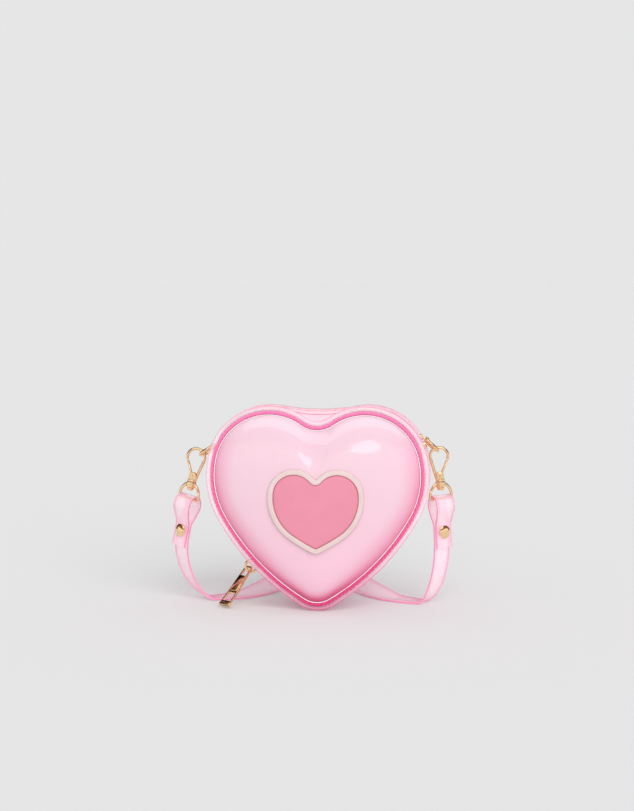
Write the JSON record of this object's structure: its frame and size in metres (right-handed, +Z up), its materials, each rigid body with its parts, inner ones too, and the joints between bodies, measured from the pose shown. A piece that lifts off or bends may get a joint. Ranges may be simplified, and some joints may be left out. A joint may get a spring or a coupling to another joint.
{
  "type": "heart-shaped handbag",
  "caption": "Small heart-shaped translucent pink PVC handbag with a zip round its gusset, a heart emblem and a strap on snap hooks.",
  "frame": {"origin": "centre of the bounding box's underside, on the surface that the bag and its strap stand on", "axes": "+X to the bag's left as worn, the right in front view; +Y from the emblem's face to the back; +Z up from the heart's tip to its lobes"},
  "size_m": [0.2174, 0.1344, 0.1522],
  "materials": {
    "pink_jelly_pvc": "glossy translucent moulded PVC",
    "pale_jelly_pvc": "glossy clear pink PVC",
    "deep_pink_thread": "twisted sewing thread",
    "peach_zip_tape": "woven zip tape",
    "pink_zip_teeth": "moulded acetal",
    "cream_soft_pvc": "soft matt PVC",
    "rose_soft_pvc": "soft satin PVC",
    "light_gold_plate": "polished light gold plating on zinc"
  },
  "bodies": {
    "bag": {"back_gusset": "pale_jelly_pvc", "back_panel": "pale_jelly_pvc", "back_piping": "pink_jelly_pvc", "back_seam_thread": "deep_pink_thread", "back_zip_tape": "peach_zip_tape", "back_zip_teeth": "pink_zip_teeth", "left_bracket_backing": "light_gold_plate", "left_lower_screw": "light_gold_plate", "left_ring_bracket": "light_gold_plate", "left_rivet_back": "light_gold_plate", "left_rivet_cap": "light_gold_plate", "left_swivel_eye": "light_gold_plate", "left_upper_screw": "light_gold_plate", "right_bracket_backing": "light_gold_plate", "right_lower_screw": "light_gold_plate", "right_ring_bracket": "light_gold_plate", "right_rivet_back": "light_gold_plate", "right_rivet_cap": "light_gold_plate", "right_swivel_eye": "light_gold_plate", "right_upper_screw": "light_gold_plate", "strap": "pale_jelly_pvc", "zip_left_stop": "pink_zip_teeth", "zip_right_stop": "pink_zip_teeth"},
    "front_half": {"front_panel": "pale_jelly_pvc", "front_piping": "pink_jelly_pvc", "front_seam_thread": "deep_pink_thread", "front_gusset": "pale_jelly_pvc", "front_zip_tape": "peach_zip_tape", "front_zip_teeth": "pink_zip_teeth", "emblem_border": "cream_soft_pvc", "emblem_heart": "rose_soft_pvc"},
    "zip_slider": {"zip_slider": "light_gold_plate"},
    "pull_ring": {"pull_ring": "light_gold_plate"},
    "pull_tab": {"pull_tab": "light_gold_plate"},
    "left_d_ring": {"left_d_ring": "light_gold_plate"},
    "right_d_ring": {"right_d_ring": "light_gold_plate"},
    "left_hook": {"left_snap_hook": "light_gold_plate", "left_gate_pin": "light_gold_plate"},
    "right_hook": {"right_snap_hook": "light_gold_plate", "right_gate_pin": "light_gold_plate"},
    "left_gate": {"left_hook_gate": "light_gold_plate"},
    "right_gate": {"right_hook_gate": "light_gold_plate"}
  },
  "joints": [
    {"name": "bag_opening", "type": "hinge", "parent": "bag", "child": "front_half", "pos_m": [0.00698, -0.02909, 0.0024], "axis": [1, 0, 0], "range_deg": [0, 20]},
    {"name": "zip_travel", "type": "hinge", "parent": "bag", "child": "zip_slider", "pos_m": [0.0867, -0.02909, 0.15419], "axis": [0, 1, 0], "range_deg": [0, 8.5]},
    {"name": "pull_ring_swing", "type": "hinge", "parent": "zip_slider", "child": "pull_ring", "pos_m": [-0.04256, -0.02909, 0.02936], "axis": [0, 1, 0], "range_deg": [-1, 30]},
    {"name": "pull_tab_swing", "type": "hinge", "parent": "pull_ring", "child": "pull_tab", "pos_m": [-0.04805, -0.02909, 0.02551], "axis": [0.8092, -0.5876, 0], "range_deg": [-15, 1]},
    {"name": "left_d_ring_swing", "type": "hinge", "parent": "bag", "child": "left_d_ring", "pos_m": [-0.0747, -0.01728, 0.11776], "axis": [0.1294, 0.9807, -0.1468], "range_deg": [-4, 6]},
    {"name": "right_d_ring_swing", "type": "hinge", "parent": "bag", "child": "right_d_ring", "pos_m": [0.08636, -0.01724, 0.12442], "axis": [-0.1297, 0.9814, -0.1413], "range_deg": [-1, 10]},
    {"name": "left_hook_swivel", "type": "hinge", "parent": "bag", "child": "left_hook", "pos_m": [-0.09188, -0.01683, 0.09304], "axis": [0.1908, 0, 0.9816], "range_deg": [-15, 10]},
    {"name": "right_hook_swivel", "type": "hinge", "parent": "bag", "child": "right_hook", "pos_m": [0.09717, -0.01722, 0.09543], "axis": [-0.0523, 0, 0.9986], "range_deg": [-30, 30]},
    {"name": "left_gate_press", "type": "hinge", "parent": "left_hook", "child": "left_gate", "pos_m": [-0.09219, -0.01683, 0.09616], "axis": [0, 1, 0], "range_deg": [0, 30], "stiffness_Nm_per_rad": 0.02, "springref_deg": -28.65},
    {"name": "right_gate_press", "type": "hinge", "parent": "right_hook", "child": "right_gate", "pos_m": [0.09791, -0.01722, 0.09848], "axis": [0, -1, 0], "range_deg": [0, 30], "stiffness_Nm_per_rad": 0.02, "springref_deg": -28.65}
  ]
}
